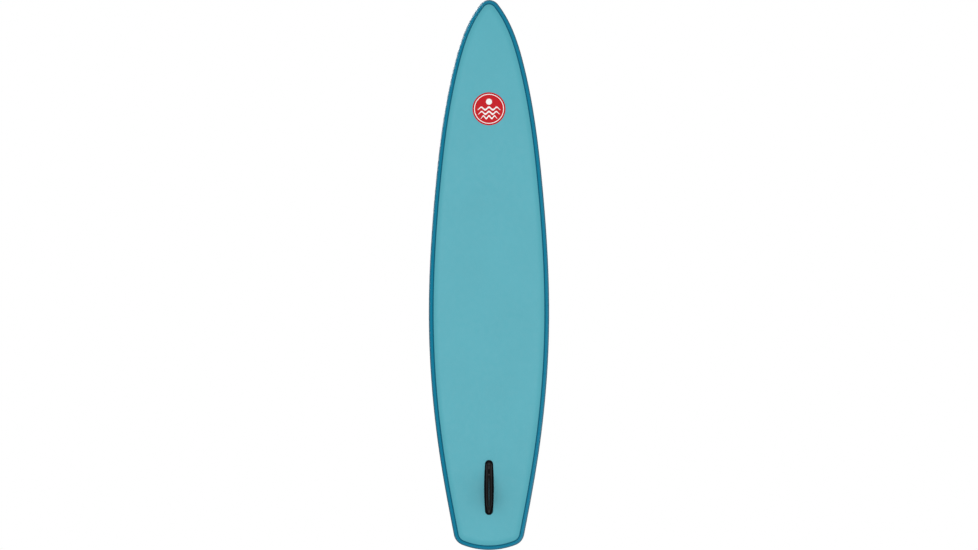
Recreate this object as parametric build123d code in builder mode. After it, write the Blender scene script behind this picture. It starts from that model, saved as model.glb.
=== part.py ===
"""Inflatable touring stand up paddleboard: hull, deck fittings, valve and fin.

Millimetres. +X points to the nose, +Y to port, +Z up out of the deck. The origin is the
middle of the flat stretch of the hull's underside, halfway along the board.
"""

import math
import os

from build123d import *

os.makedirs("parts", exist_ok=True)

# ---- driving dimensions ------------------------------------------------------------------
LENGTH = 3810.0
HALF_WIDTH = 415.0
THICKNESS = 150.0
SKIN = 2.0
CLEAR = 0.3
BOND_GAP = 0.2

NOSE_X = LENGTH / 2
TAIL_X = -LENGTH / 2
RAIL_RADIUS = THICKNESS / 2

# Plan outline: an arc at the nose, two arcs round the tail, one fair curve between them.
NOSE_RADIUS = 78.0
NOSE_SWEEP = 52.0
TAIL_RADIUS = 500.0
TAIL_SWEEP = 21.7
CORNER_RADIUS = 95.0
CORNER_SWEEP = 57.3
SIDE_POINTS = [(-1249, 341), (-365, HALF_WIDTH), (619, 369), (1450, 241.5)]

# Rocker: the hull is flat between two stations and lifts towards both ends.
NOSE_LIFT = 190.0
NOSE_LIFT_START = 100.0
TAIL_LIFT = 45.0
TAIL_LIFT_START = -600.0
LIFT_POWER = 2.4

# Rail band and seams, measured inwards from the plan outline.
RAIL_INSET = 30.0
SEAM_HALF = 4.0
SEAM_THICK = 1.3

# Drop stitch threads, as bundles on a coarse grid
THREAD_PITCH_X = 200.0
THREAD_PITCH_Y = 110.0
THREAD_RADIUS = 1.5
THREAD_END_CLEAR = 1.2

# Deck pad, between two shares of the side curve, and the kick pad at its rear end
PAD_THICK = 5.0
PAD_INSET = 92.0
PAD_CORNER = 60.0
PAD_SHARES = (0.135, 0.3, 0.45, 0.57, 0.68)
WELL_LENGTH = 470.0
WELL_WIDTH = 124.0
KICK_X = -1228.0
KICK_LENGTH = 96.0
KICK_WIDTH = 380.0
KICK_HEIGHT = 26.0
KICK_FRONT = 4.0
KICK_REAR = 8.0

# Webbing handles
CARRY_X = 0.0
NOSE_HANDLE_X = 1590.0
TAIL_HANDLE_X = -1718.0
HANDLE_PIVOT = 15.0
STRAP_WIDTH = 24.0
STRAP_THICK = 3.0
TAB_LENGTH = 46.0
HANDLE_PATCH_THICK = 3.0
HANDLE_PATCH_LENGTH = 80.0
HANDLE_PATCH_WIDTH = 74.0
HANDLE_PATCH_CORNER = 22.0
GRIP_WIDTH = 36.0
GRIP_THICK = 20.0
GRIP_CORNER = 8.0

# D rings, their webbing loops and patches
RING_PLACES = {
    "cargo_ring_nose": (1330.0, 118.0),
    "cargo_ring_front": (900.0, 205.0),
    "cargo_ring_rear": (-1385.0, 198.0),
    "cargo_ring_tail": (-1640.0, 150.0),
}
LEASH_X = -1546.0
WIRE_RADIUS = 2.5
RING_HALF = 18.0
RING_SIDE = 8.0
RING_CORNER = 6.0
RING_PATCH_RADIUS = 40.0
RING_PATCH_THICK = 2.0
BAR_HEIGHT = RING_PATCH_THICK + CLEAR + WIRE_RADIUS + 0.5
LOOP_WIDTH = 20.0
LOOP_THICK = 1.6
LOOP_TAIL = 24.0

# Valve, vertical, on the centreline. Heights are from its flange's seat.
VALVE_X = -1440.0
VALVE_SEAT = 2.0
VALVE_HOLE_RADIUS = 22.0
VALVE_PATCH_RADIUS = 62.0
VALVE_PATCH_THICK = 1.6
BARREL_RADIUS = 21.0
BORE_RADIUS = 17.0
FLANGE_RADIUS = 30.0
FLANGE_THICK = 4.0
NUT_RADIUS = 29.0
NUT_DEPTH = 7.0
NUT_TOP = -SKIN - 4.0
WEB_Z = -22.0
WEB_THICK = 3.0
SOLE_Z = -34.0
SOLE_THICK = 3.0
SOLE_HOLE_RADIUS = 14.0
STEM_RADIUS = 3.0
STEM_TOP = -8.0
BUTTON_RADIUS = 6.5
DISC_RADIUS = 16.0
DISC_THICK = 2.5
SEAL_THICK = 2.2
COIL_RADIUS = 5.0
COIL_WIRE = 0.6
COIL_TURNS = 5
CAP_RADIUS = 26.0
CAP_THICK = 6.0
CAP_BAR_LENGTH = 40.0
CAP_BAR_WIDTH = 9.0
CAP_BAR_HEIGHT = 5.0
CAP_PLUG_RADIUS = 15.0
CAP_PLUG_WALL = 3.0
CAP_PLUG_DEPTH = 8.0
CAP_SEAL_DEPTH = 6.0
CAP_SEAL_HEIGHT = 2.4

# Fin box and fin, in the frame of the hull's underside at FIN_X
FIN_X = -1469.0
BASE_LENGTH = 380.0
BASE_END_RADIUS = 27.5
BASE_HALF_WIDTH = 34.0
BASE_THICK = 4.0
BOX_LENGTH = 350.0
BOX_WIDTH = 37.0
BOX_DEPTH = 28.0
SLOT_LENGTH = 260.0
SLOT_WIDTH = 9.6
SLOT_DEPTH = 22.0
GROOVE_WIDTH = 14.4
GROOVE_HEIGHT = 4.4
GROOVE_Z = -13.0
FIN_DEPTH = 205.0
FIN_CHORD = 198.0
FIN_THICK = 7.6
FIN_RAKE = 78.0
FIN_TAB_LENGTH = 160.0
FIN_TAB_WIDTH = 9.2
FIN_TAB_X = -12.0
TONGUE_THICK = 4.0
PIN_X = -80.0
PIN_RADIUS = 2.0
PLATE_LENGTH = 10.0
PLATE_THICK = 3.2
SCREW_X = 90.0
SCREW_RADIUS = 2.0
SCREW_LENGTH = 12.5
SCREW_HEAD_RADIUS = 4.2
SCREW_HEAD_THICK = 2.6
TONGUE_TOP = GROOVE_Z - 2.0

# Round badge under the nose
EMBLEM_X = 1143.0
EMBLEM_RADIUS = 114.0
EMBLEM_THICK = 1.2


# ---- shared geometry ---------------------------------------------------------------------
def save(name, shape):
    """Label one finished node and write its STEP file."""
    shape.label = name
    export_step(shape, f"parts/{name}.step")


def save_placed(name, shape, planes):
    """Write one node that holds a copy of a shape at each plane."""
    with BuildPart() as placed:
        with Locations(*planes):
            add(shape)
    save(name, placed.part)


def lift(x):
    """Height of the hull's underside at a station."""
    if x > NOSE_LIFT_START:
        share = (x - NOSE_LIFT_START) / (NOSE_X - NOSE_LIFT_START)
        return NOSE_LIFT * share**LIFT_POWER
    if x < TAIL_LIFT_START:
        share = (x - TAIL_LIFT_START) / (TAIL_X - TAIL_LIFT_START)
        return TAIL_LIFT * share**LIFT_POWER
    return 0.0


def slope(x):
    """Gradient of the rocker line at a station."""
    return lift(x + 0.5) - lift(x - 0.5)


def surface_plane(x, y, height, heading=0.0):
    """Plane tangent to the rocker at (x, y), its X axis along the board, turned by heading."""
    normal = Vector(-slope(x), 0, 1).normalized()
    ahead = Vector(1, 0, slope(x)).normalized()
    across = Vector(0, 1, 0)
    turn = math.radians(heading)
    x_dir = ahead * math.cos(turn) + across * math.sin(turn)
    return Plane(origin=(x, y, lift(x) + height), x_dir=x_dir, z_dir=normal)


def deck_plane(x, y, heading=0.0):
    """Tangent plane on the deck, just clear of its skin."""
    return surface_plane(x, y, THICKNESS + CLEAR, heading)


def make_outline(inset, side_points):
    """Port half of a plan outline parallel to the board's, as its edges from tail to nose."""
    with BuildLine():
        tail = CenterArc((TAIL_X + TAIL_RADIUS, 0), TAIL_RADIUS - inset, 180, -TAIL_SWEEP)
        corner = JernArc(tail @ 1, tail % 1, CORNER_RADIUS - inset, -CORNER_SWEEP)
        nose = CenterArc(
            (NOSE_X - NOSE_RADIUS, 0), NOSE_RADIUS - inset, NOSE_SWEEP, -NOSE_SWEEP
        )
        side = Spline(corner @ 1, *side_points, nose @ 0, tangents=(corner % 1, nose % 0))
    return tail, corner, side, nose


TAIL_ARC, CORNER_ARC, SIDE_CURVE, NOSE_ARC = make_outline(0, SIDE_POINTS)


def stations():
    """Points and outward normals along the port outline, closer together at both ends."""
    side_count = 32
    side = [
        (1 - math.cos(math.pi * step / side_count)) / 2 for step in range(1, side_count + 1)
    ]
    spread = [
        (TAIL_ARC, [0.05, 0.2, 0.4, 0.6, 0.8, 1.0]),
        (CORNER_ARC, [0.25, 0.5, 0.75, 1.0]),
        (SIDE_CURVE, side),
        (NOSE_ARC, [0.25, 0.5, 0.75, 0.93]),
    ]
    found = []
    for edge, shares in spread:
        for share in shares:
            point = edge @ share
            tangent = edge % share
            found.append((point, Vector(-tangent.Y, tangent.X)))
    return found


STATIONS = stations()


def board_solid(grow):
    """The inflated body, its surface moved outwards by grow."""
    with BuildPart() as body:
        for point, normal in STATIONS:
            from_end = min(point.X - TAIL_X, NOSE_X - point.X)
            fullness = 1 - max(0.0, 1 - from_end / RAIL_RADIUS) ** 2
            height = (RAIL_RADIUS + grow) * math.sqrt(fullness)
            x = point.X + grow * normal.X
            half_width = point.Y + grow * normal.Y
            aslant = abs(normal.Y) if point.X > 0 else 1.0
            edge = min(height / aslant, half_width - 0.5)
            flat = half_width - edge
            section = Plane(
                origin=(x, 0, lift(x) + RAIL_RADIUS), x_dir=(0, 1, 0), z_dir=(1, 0, 0)
            )
            with BuildSketch(section):
                with BuildLine():
                    Line((-flat, -height), (flat, -height))
                    EllipticalCenterArc((flat, 0), edge, height, -90, arc_size=180)
                    Line((flat, height), (-flat, height))
                    EllipticalCenterArc((-flat, 0), edge, height, 90, arc_size=180)
                make_face()
        loft(ruled=True)
    return body.part


def inset_side(inset, shares):
    """Points of the side curve moved inwards by inset."""
    moved = []
    for share in shares:
        tangent = SIDE_CURVE % share
        moved.append(SIDE_CURVE @ share - Vector(-tangent.Y, tangent.X) * inset)
    return moved


def plan_face(inset):
    """The whole plan outline moved inwards by inset."""
    edges = make_outline(inset, inset_side(inset, (0.1, 0.25, 0.4, 0.55, 0.7, 0.85, 0.95)))
    with BuildSketch() as plan:
        with BuildLine():
            add(edges)
            mirror(about=Plane.XZ)
        make_face()
    return plan.sketch


def plan_prism(inset):
    """A tall prism on the inset plan outline."""
    with BuildPart() as prism:
        with BuildSketch(Plane.XY.offset(-THICKNESS)):
            add(plan_face(inset))
        extrude(amount=4 * THICKNESS)
    return prism.part


def save_bonded(name, shape, planes):
    """Write copies of a patch, their undersides cut to the deck that they are bonded to."""
    with BuildPart() as bonded:
        with Locations(*planes):
            add(shape)
        add(board_solid(BOND_GAP), mode=Mode.SUBTRACT)
    save(name, bonded.part)


def shell_between(outer_grow, inner_grow):
    """The closed skin between two grown bodies."""
    with BuildPart() as skin:
        add(board_solid(outer_grow))
        add(board_solid(inner_grow), mode=Mode.SUBTRACT)
    return skin.part


# ---- board skin --------------------------------------------------------------------------
def build_board():
    """Hull and deck panels, the two rail bands and the seam tapes."""
    skin = shell_between(0, -SKIN)
    inner_prism = plan_prism(RAIL_INSET)
    with BuildPart() as panels:
        add(skin)
        add(inner_prism, mode=Mode.INTERSECT)
    hull, deck = panels.solids().sort_by(Axis.Z)
    with BuildPart() as hull_panel:
        add(hull)
    save("hull_panel", hull_panel.part)
    with BuildPart() as deck_panel:
        add(deck)
        with Locations((VALVE_X, 0, THICKNESS)):
            Cylinder(VALVE_HOLE_RADIUS, THICKNESS / 2, mode=Mode.SUBTRACT)
    save("deck_panel", deck_panel.part)

    with BuildPart() as rails:
        add(skin)
        add(inner_prism, mode=Mode.SUBTRACT)
        split(bisect_by=Plane.XZ, keep=Keep.BOTH)
    starboard, port = rails.solids().sort_by(Axis.Y)
    with BuildPart() as rail_left:
        add(port)
    save("rail_band_left", rail_left.part)
    with BuildPart() as rail_right:
        add(starboard)
    save("rail_band_right", rail_right.part)

    with BuildPart() as tapes:
        add(shell_between(CLEAR + SEAM_THICK, CLEAR))
        add(plan_prism(RAIL_INSET - SEAM_HALF), mode=Mode.INTERSECT)
        add(plan_prism(RAIL_INSET + SEAM_HALF), mode=Mode.SUBTRACT)
    hull_tape, deck_tape = tapes.solids().sort_by(Axis.Z)
    with BuildPart() as hull_seam_tape:
        add(hull_tape)
    save("hull_seam_tape", hull_seam_tape.part)
    with BuildPart() as deck_seam_tape:
        add(deck_tape)
    save("deck_seam_tape", deck_seam_tape.part)


def build_threads():
    """Bundles of drop stitch thread that hold the hull and the deck parallel."""
    inner = plan_face(RAIL_RADIUS + 1)
    rows = int(LENGTH / 2 / THREAD_PITCH_X)
    columns = int(HALF_WIDTH / THREAD_PITCH_Y)
    length = THICKNESS - 2 * (SKIN + THREAD_END_CLEAR)
    with BuildPart() as threads:
        for row in range(-rows, rows + 1):
            for column in range(-columns, columns + 1):
                x = row * THREAD_PITCH_X
                y = column * THREAD_PITCH_Y
                near_valve = math.hypot(x - VALVE_X, y) < VALVE_PATCH_RADIUS
                if near_valve or not inner.face().is_inside((x, y, 0)):
                    continue
                with Locations((x, y, lift(x) + RAIL_RADIUS)):
                    Cylinder(THREAD_RADIUS, length)
    save("drop_stitch_threads", threads.part)


# ---- deck pads ---------------------------------------------------------------------------
def build_pads():
    """Foam deck pad round the carry handle, and the ridge at its rear end."""
    side_points = inset_side(PAD_INSET, PAD_SHARES)
    with BuildPart() as deck_pad:
        add(shell_between(CLEAR + PAD_THICK, CLEAR))
        with BuildSketch(Plane.XY.offset(RAIL_RADIUS)) as cut:
            with BuildLine():
                side = Spline(*side_points)
                Line(side @ 0, ((side @ 0).X, 0))
                Line(side @ 1, ((side @ 1).X, 0))
                mirror(about=Plane.XZ)
            make_face()
            ends = cut.vertices().group_by(Axis.X)
            fillet(ends[0] + ends[-1], PAD_CORNER)
            with Locations((CARRY_X, 0)):
                RectangleRounded(WELL_LENGTH, WELL_WIDTH, WELL_WIDTH / 3, mode=Mode.SUBTRACT)
        extrude(amount=THICKNESS, mode=Mode.INTERSECT)
    save("deck_pad", deck_pad.part)

    under = surface_plane(KICK_X, 0, THICKNESS + 2 * CLEAR + PAD_THICK)
    side_view = Plane(origin=under.origin, x_dir=under.x_dir, z_dir=-under.y_dir)
    half = KICK_LENGTH / 2
    crest = (-half * 0.6, KICK_HEIGHT)
    slope_point = (0, KICK_HEIGHT * 0.8)
    with BuildPart() as kick_pad:
        with BuildSketch(side_view):
            with BuildLine():
                Line((-half, 0), (half, 0))
                Line((half, 0), (half, KICK_FRONT))
                Spline((half, KICK_FRONT), slope_point, crest, (-half, KICK_REAR))
                Line((-half, KICK_REAR), (-half, 0))
            make_face()
        extrude(amount=KICK_WIDTH / 2, both=True)
    save("kick_pad", kick_pad.part)


# ---- handles -----------------------------------------------------------------------------
def arched_strap(reach, rise, thick, width):
    """A strap bent to an arch between two pivots above the X axis."""
    pivot = HANDLE_PIVOT
    half = thick / 2
    with BuildPart() as strap:
        with BuildSketch(Plane.XZ.offset(-width / 2)):
            with BuildLine():
                over = ThreePointArc(
                    (-reach, pivot + half), (0, rise + half), (reach, pivot + half)
                )
                under = ThreePointArc(
                    (-reach, pivot - half), (0, rise - half), (reach, pivot - half)
                )
                Line(over @ 0, under @ 0)
                Line(over @ 1, under @ 1)
            make_face()
        extrude(amount=width)
    return strap.part


def build_handle(name, plane, reach, rise, grip_length):
    """A webbing handle: two patches, two fixed tabs and the arch that swings between them."""
    patch_centre = reach + TAB_LENGTH / 2
    with BuildPart() as patches:
        with BuildSketch(Plane.XY.offset(HANDLE_PATCH_THICK)):
            with Locations((patch_centre, 0), (-patch_centre, 0)):
                RectangleRounded(HANDLE_PATCH_LENGTH, HANDLE_PATCH_WIDTH, HANDLE_PATCH_CORNER)
        extrude(amount=-2 * HANDLE_PATCH_THICK)
    save_bonded(f"{name}_patches", patches.part, [plane])

    root = reach + CLEAR
    end = reach + TAB_LENGTH
    bend = root + TAB_LENGTH / 3
    low = HANDLE_PATCH_THICK
    with BuildPart() as tabs:
        with BuildSketch(Plane.XZ):
            with BuildLine():
                Polyline(
                    (root, HANDLE_PIVOT + STRAP_THICK / 2),
                    (bend, low + STRAP_THICK * 1.5),
                    (end, low + STRAP_THICK),
                    (end, low),
                    (bend - STRAP_THICK / 2, low),
                    (root, HANDLE_PIVOT - STRAP_THICK / 2),
                    close=True,
                )
            make_face()
            mirror(about=Plane.YZ)
        extrude(amount=STRAP_WIDTH / 2, both=True)
    save_placed(f"{name}_tabs", tabs.part, [plane])

    webbing = arched_strap(reach, rise, STRAP_THICK, STRAP_WIDTH)
    save_placed(f"{name}_webbing", webbing, [plane])

    if grip_length:
        with BuildPart() as grip:
            add(arched_strap(reach, rise, GRIP_THICK, GRIP_WIDTH))
            with BuildSketch():
                Rectangle(grip_length, GRIP_WIDTH)
            extrude(amount=THICKNESS, mode=Mode.INTERSECT)
            across = grip.edges().group_by(Axis.Y)
            fillet(across[0] + across[-1], GRIP_CORNER)
            add(webbing, mode=Mode.SUBTRACT)
        save_placed(f"{name}_grip", grip.part, [plane])


# ---- D rings -----------------------------------------------------------------------------
def make_ring():
    """D ring lying flat, its straight bar on the X axis and its bow towards +Y."""
    level = Plane.XY.offset(BAR_HEIGHT)
    with BuildSketch(level) as bow:
        with BuildLine():
            CenterArc((0, RING_SIDE), RING_HALF, 0, 180)
            Polyline(
                (RING_HALF, RING_SIDE),
                (RING_HALF, 0),
                (-RING_HALF, 0),
                (-RING_HALF, RING_SIDE),
            )
        make_face()
        fillet(bow.vertices().group_by(Axis.Y)[0], RING_CORNER)
    path = bow.sketch.face().outer_wire()
    with BuildPart() as ring:
        with BuildSketch(Plane(origin=path @ 0, z_dir=path % 0)):
            Circle(WIRE_RADIUS)
        sweep(path=path, transition=Transition.ROUND)
    return ring.part


def make_ring_loop():
    """Webbing loop round the ring's bar, its two tails stitched flat on the patch."""
    inner = WIRE_RADIUS + CLEAR
    outer = inner + LOOP_THICK
    stack = RING_PATCH_THICK + 2 * LOOP_THICK
    with BuildPart() as loop:
        with BuildSketch(Plane.YZ):
            with Locations((0, BAR_HEIGHT)):
                Circle(outer)
            with BuildLine():
                Polyline(
                    (0, BAR_HEIGHT + outer),
                    (-LOOP_TAIL / 2, stack + LOOP_THICK / 2),
                    (-LOOP_TAIL, stack),
                    (-LOOP_TAIL, RING_PATCH_THICK),
                    (0, RING_PATCH_THICK),
                    close=True,
                )
            make_face()
            with Locations((0, RING_PATCH_THICK / 2)):
                Rectangle(4 * outer, RING_PATCH_THICK, mode=Mode.SUBTRACT)
            with Locations((0, BAR_HEIGHT)):
                Circle(inner, mode=Mode.SUBTRACT)
        extrude(amount=LOOP_WIDTH / 2, both=True)
    return loop.part


def make_ring_patch():
    """Round patch under one D ring."""
    with BuildPart() as patch:
        with BuildSketch(Plane.XY.offset(RING_PATCH_THICK)):
            Circle(RING_PATCH_RADIUS)
        extrude(amount=-2 * RING_PATCH_THICK)
    return patch.part


def build_rings():
    """Eight cargo rings that open outboard and the leash ring that opens aft."""
    ring = make_ring()
    loop = make_ring_loop()
    patch = make_ring_patch()
    planes = []
    for name, (x, y) in RING_PLACES.items():
        left = deck_plane(x, y)
        right = deck_plane(x, -y, 180)
        save_placed(f"{name}_left", ring, [left])
        save_placed(f"{name}_right", ring, [right])
        planes += [left, right]
    save_placed("cargo_ring_loops", loop, planes)
    save_bonded("cargo_ring_patches", patch, planes)
    aft = deck_plane(LEASH_X, 0, 90)
    save_placed("leash_ring", ring, [aft])
    save_placed("leash_ring_loop", loop, [aft])
    save_bonded("leash_ring_patch", patch, [aft])


# ---- valve -------------------------------------------------------------------------------
def build_valve_body(axis):
    """Flanged barrel with a webbed guide for the plunger and an open sole."""
    guide_radius = STEM_RADIUS + CLEAR
    ports = 4
    port_radius = 4.5
    port_circle = 10.5
    with BuildPart() as body:
        with BuildSketch():
            Circle(FLANGE_RADIUS)
        extrude(amount=FLANGE_THICK)
        with BuildSketch():
            Circle(BARREL_RADIUS)
        extrude(amount=SOLE_Z)
        fillet(body.edges().group_by(Axis.Z)[-1], 1.5)
        with BuildSketch(Plane.XY.offset(FLANGE_THICK)):
            Circle(BORE_RADIUS)
        extrude(amount=WEB_Z - FLANGE_THICK, mode=Mode.SUBTRACT)
        with BuildSketch(Plane.XY.offset(WEB_Z - WEB_THICK)):
            Circle(BORE_RADIUS)
        extrude(amount=SOLE_Z + SOLE_THICK - WEB_Z + WEB_THICK, mode=Mode.SUBTRACT)
        with BuildSketch(Plane.XY.offset(SOLE_Z)):
            Circle(SOLE_HOLE_RADIUS)
        extrude(amount=SOLE_THICK, mode=Mode.SUBTRACT)
        with BuildSketch(Plane.XY.offset(WEB_Z)):
            Circle(guide_radius)
            with PolarLocations(port_circle, ports):
                Circle(port_radius)
        extrude(amount=-WEB_THICK, mode=Mode.SUBTRACT)
    save_placed("valve_body", body.part, [axis])


def build_valve_mounting(axis):
    """Gasket under the flange, clamp nut inside the deck and the patch round them."""
    with BuildPart() as gasket:
        with BuildSketch(axis):
            Circle(FLANGE_RADIUS - 1)
            Circle(BARREL_RADIUS + BOND_GAP / 2, mode=Mode.SUBTRACT)
        extrude(amount=-2 * FLANGE_THICK)
        add(board_solid(BOND_GAP), mode=Mode.SUBTRACT)
    save("valve_gasket", gasket.part)

    notches = 8
    notch_depth = 4.0
    notch_width = 8.0
    with BuildPart() as nut:
        with BuildSketch(Plane.XY.offset(NUT_TOP - NUT_DEPTH)):
            Circle(NUT_RADIUS)
            Circle(BARREL_RADIUS + BOND_GAP / 2, mode=Mode.SUBTRACT)
            with PolarLocations(NUT_RADIUS, notches):
                Rectangle(notch_depth, notch_width, mode=Mode.SUBTRACT)
        extrude(amount=NUT_DEPTH)
    save_placed("valve_clamp_nut", nut.part, [axis])

    with BuildPart() as patch:
        with BuildSketch(Plane.XY.offset(VALVE_PATCH_THICK)):
            Circle(VALVE_PATCH_RADIUS)
            Circle(FLANGE_RADIUS + 2, mode=Mode.SUBTRACT)
        extrude(amount=-2 * VALVE_PATCH_THICK)
    save_bonded("valve_patch", patch.part, [deck_plane(VALVE_X, 0)])


def build_plunger(axis):
    """Push button, stem and disc in one, the seal on the disc and the spring round the stem."""
    disc_bottom = SOLE_Z - 2 * DISC_THICK
    with BuildPart() as plunger:
        with BuildSketch(Plane.XY.offset(disc_bottom)):
            Circle(DISC_RADIUS)
        extrude(amount=DISC_THICK)
        with BuildSketch(Plane.XY.offset(disc_bottom)):
            Circle(STEM_RADIUS)
        extrude(amount=STEM_TOP + DISC_THICK / 2 - disc_bottom)
        with BuildSketch(Plane.XY.offset(STEM_TOP)):
            Circle(BUTTON_RADIUS)
        extrude(amount=DISC_THICK)
        fillet(plunger.edges().group_by(Axis.Z)[-1], 0.8)
    save_placed("valve_plunger", plunger.part, [axis])

    with BuildPart() as plunger_seal:
        with BuildSketch(Plane.XY.offset(SOLE_Z - DISC_THICK)):
            Circle(DISC_RADIUS)
            Circle(STEM_RADIUS + BOND_GAP / 4, mode=Mode.SUBTRACT)
        extrude(amount=SEAL_THICK)
    save_placed("valve_plunger_seal", plunger_seal.part, [axis])

    coil_bottom = WEB_Z + COIL_WIRE + 0.1
    coil_top = STEM_TOP - COIL_WIRE - 0.1
    height = coil_top - coil_bottom
    with BuildPart() as spring:
        with BuildLine() as coil:
            Helix(height / COIL_TURNS, height, COIL_RADIUS, center=(0, 0, coil_bottom))
        with BuildSketch(Plane(origin=coil.line @ 0, z_dir=coil.line % 0)):
            Circle(COIL_WIRE)
        sweep(path=coil.line)
    save_placed("valve_spring", spring.part, [axis])


def build_cap(axis):
    """Cap with a grip bar and a fluted rim, and the seal round its plug."""
    flutes = 12
    flute_radius = 2.2
    bottom = FLANGE_THICK + CLEAR
    with BuildPart() as cap:
        with BuildSketch(Plane.XY.offset(bottom)):
            Circle(CAP_RADIUS)
            with PolarLocations(CAP_RADIUS, flutes):
                Circle(flute_radius, mode=Mode.SUBTRACT)
        extrude(amount=CAP_THICK)
        fillet(cap.edges().group_by(Axis.Z)[-1], 1.2)
        with BuildSketch(Plane.XY.offset(bottom + CAP_THICK)):
            SlotOverall(CAP_BAR_LENGTH, CAP_BAR_WIDTH)
        extrude(amount=CAP_BAR_HEIGHT)
        fillet(cap.edges().group_by(Axis.Z)[-1], 1.5)
        with BuildSketch(Plane.XY.offset(bottom)):
            Circle(CAP_PLUG_RADIUS)
            Circle(CAP_PLUG_RADIUS - CAP_PLUG_WALL, mode=Mode.SUBTRACT)
        extrude(amount=-CAP_PLUG_DEPTH)
    save_placed("valve_cap", cap.part, [axis])

    with BuildPart() as cap_seal:
        with BuildSketch(Plane.XY.offset(bottom - CAP_SEAL_DEPTH)):
            Circle(BORE_RADIUS - 0.1)
            Circle(CAP_PLUG_RADIUS + 0.06, mode=Mode.SUBTRACT)
        extrude(amount=CAP_SEAL_HEIGHT)
    save_placed("valve_cap_seal", cap_seal.part, [axis])


def build_valve():
    """Push valve with its mounting, sprung plunger and cap."""
    axis = Plane(origin=(VALVE_X, 0, lift(VALVE_X) + THICKNESS + VALVE_SEAT))
    build_valve_body(axis)
    build_valve_mounting(axis)
    build_plunger(axis)
    build_cap(axis)


# ---- fin box and fin ---------------------------------------------------------------------
def base_face(plane):
    """Outline of the fin box's base: a slim lens grown by the radius of its round ends."""
    tip = BASE_LENGTH / 2 - BASE_END_RADIUS
    bulge = BASE_HALF_WIDTH - BASE_END_RADIUS
    with BuildSketch(plane) as base:
        with BuildLine():
            ThreePointArc((-tip, 0), (-10, bulge), (tip, 0))
            ThreePointArc((tip, 0), (-10, -bulge), (-tip, 0))
        make_face()
        offset(amount=BASE_END_RADIUS)
    return base.sketch


def box_face():
    """Outline of the fin box: round in front, drawn to a narrow point behind."""
    half = BOX_WIDTH / 2
    front = BOX_LENGTH / 2 - half
    shoulder = -front * 0.72
    taper = -BOX_LENGTH * 0.44
    rear = -BOX_LENGTH / 2
    point = 3.0
    with BuildSketch(Plane.XY.offset(-BASE_THICK)) as outline:
        with BuildLine():
            ThreePointArc((front, half), (front + half, 0), (front, -half))
            Line((front, half), (shoulder, half))
            Spline((shoulder, half), (taper, half * 0.62), (rear, point),
                   tangents=[(-1, 0), (-1, -0.9)])
            Line((rear, point), (rear, -point))
            Spline((rear, -point), (taper, -half * 0.62), (shoulder, -half),
                   tangents=[(1, -0.9), (1, 0)])
            Line((shoulder, -half), (front, -half))
        make_face()
    return outline.sketch


def build_fin_box():
    """Base flange bonded to the hull and the slotted box that hangs from it."""
    under = surface_plane(FIN_X, 0, 0)
    with BuildPart() as base:
        add(base_face(under.offset(-BASE_THICK)))
        extrude(amount=2 * BASE_THICK)
        downward = base.faces().sort_by(Axis(under.origin, under.z_dir))[0]
        fillet(downward.edges(), 1.5)
        add(board_solid(BOND_GAP), mode=Mode.SUBTRACT)
    save("fin_box_base", base.part)

    entry_length = 12.0
    dimple = (154.0, 6.0, 3.5)
    relief_circles = [(-138.0, 5.0), (-157.0, 1.0)]
    relief_depth = 6.0
    with BuildPart() as box:
        add(box_face())
        extrude(amount=BASE_THICK - BOX_DEPTH)
        fillet(box.faces().sort_by(Axis.Z)[0].edges(), 2.0)
        with BuildSketch(Plane.XY.offset(-BOX_DEPTH)):
            SlotOverall(SLOT_LENGTH, SLOT_WIDTH)
        extrude(amount=SLOT_DEPTH, mode=Mode.SUBTRACT)
        with BuildSketch(Plane.XY.offset(GROOVE_Z - GROOVE_HEIGHT / 2)):
            Rectangle(SLOT_LENGTH - 2 * SLOT_WIDTH, GROOVE_WIDTH)
        extrude(amount=GROOVE_HEIGHT, mode=Mode.SUBTRACT)
        with BuildSketch(Plane.XY.offset(-BOX_DEPTH)):
            Rectangle(entry_length, GROOVE_WIDTH)
        extrude(amount=BOX_DEPTH + GROOVE_Z, mode=Mode.SUBTRACT)
        with BuildSketch(Plane.XY.offset(-BOX_DEPTH)):
            with Locations((dimple[0], dimple[1]), (dimple[0], -dimple[1])):
                Circle(dimple[2])
        extrude(amount=relief_depth, mode=Mode.SUBTRACT)
        with BuildSketch(Plane.XY.offset(-BOX_DEPTH)):
            for place, radius in relief_circles:
                with Locations((place, 0)):
                    Circle(radius)
            make_hull()
        extrude(amount=relief_depth, mode=Mode.SUBTRACT)
    save_placed("fin_box", box.part, [under])


def fin_section(share):
    """Two-arc foil at a share of the fin's depth, as a sketch on its own level."""
    fullness = math.sqrt(1 - share**2.4)
    chord = FIN_CHORD * fullness + 4
    thick = FIN_THICK * fullness + 0.8
    centre = FIN_TAB_X - FIN_RAKE * share**1.5 + 0.10 * FIN_CHORD * (1 - fullness)
    depth = BOX_DEPTH + CLEAR + FIN_DEPTH * share
    front = centre + chord / 2
    rear = centre - chord / 2
    bulge = centre + 0.12 * chord
    with BuildSketch(Plane.XY.offset(-depth)) as section:
        with BuildLine():
            ThreePointArc((front, 0), (bulge, thick / 2), (rear, 0))
            ThreePointArc((rear, 0), (bulge, -thick / 2), (front, 0))
        make_face()
    return section.sketch


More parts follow.
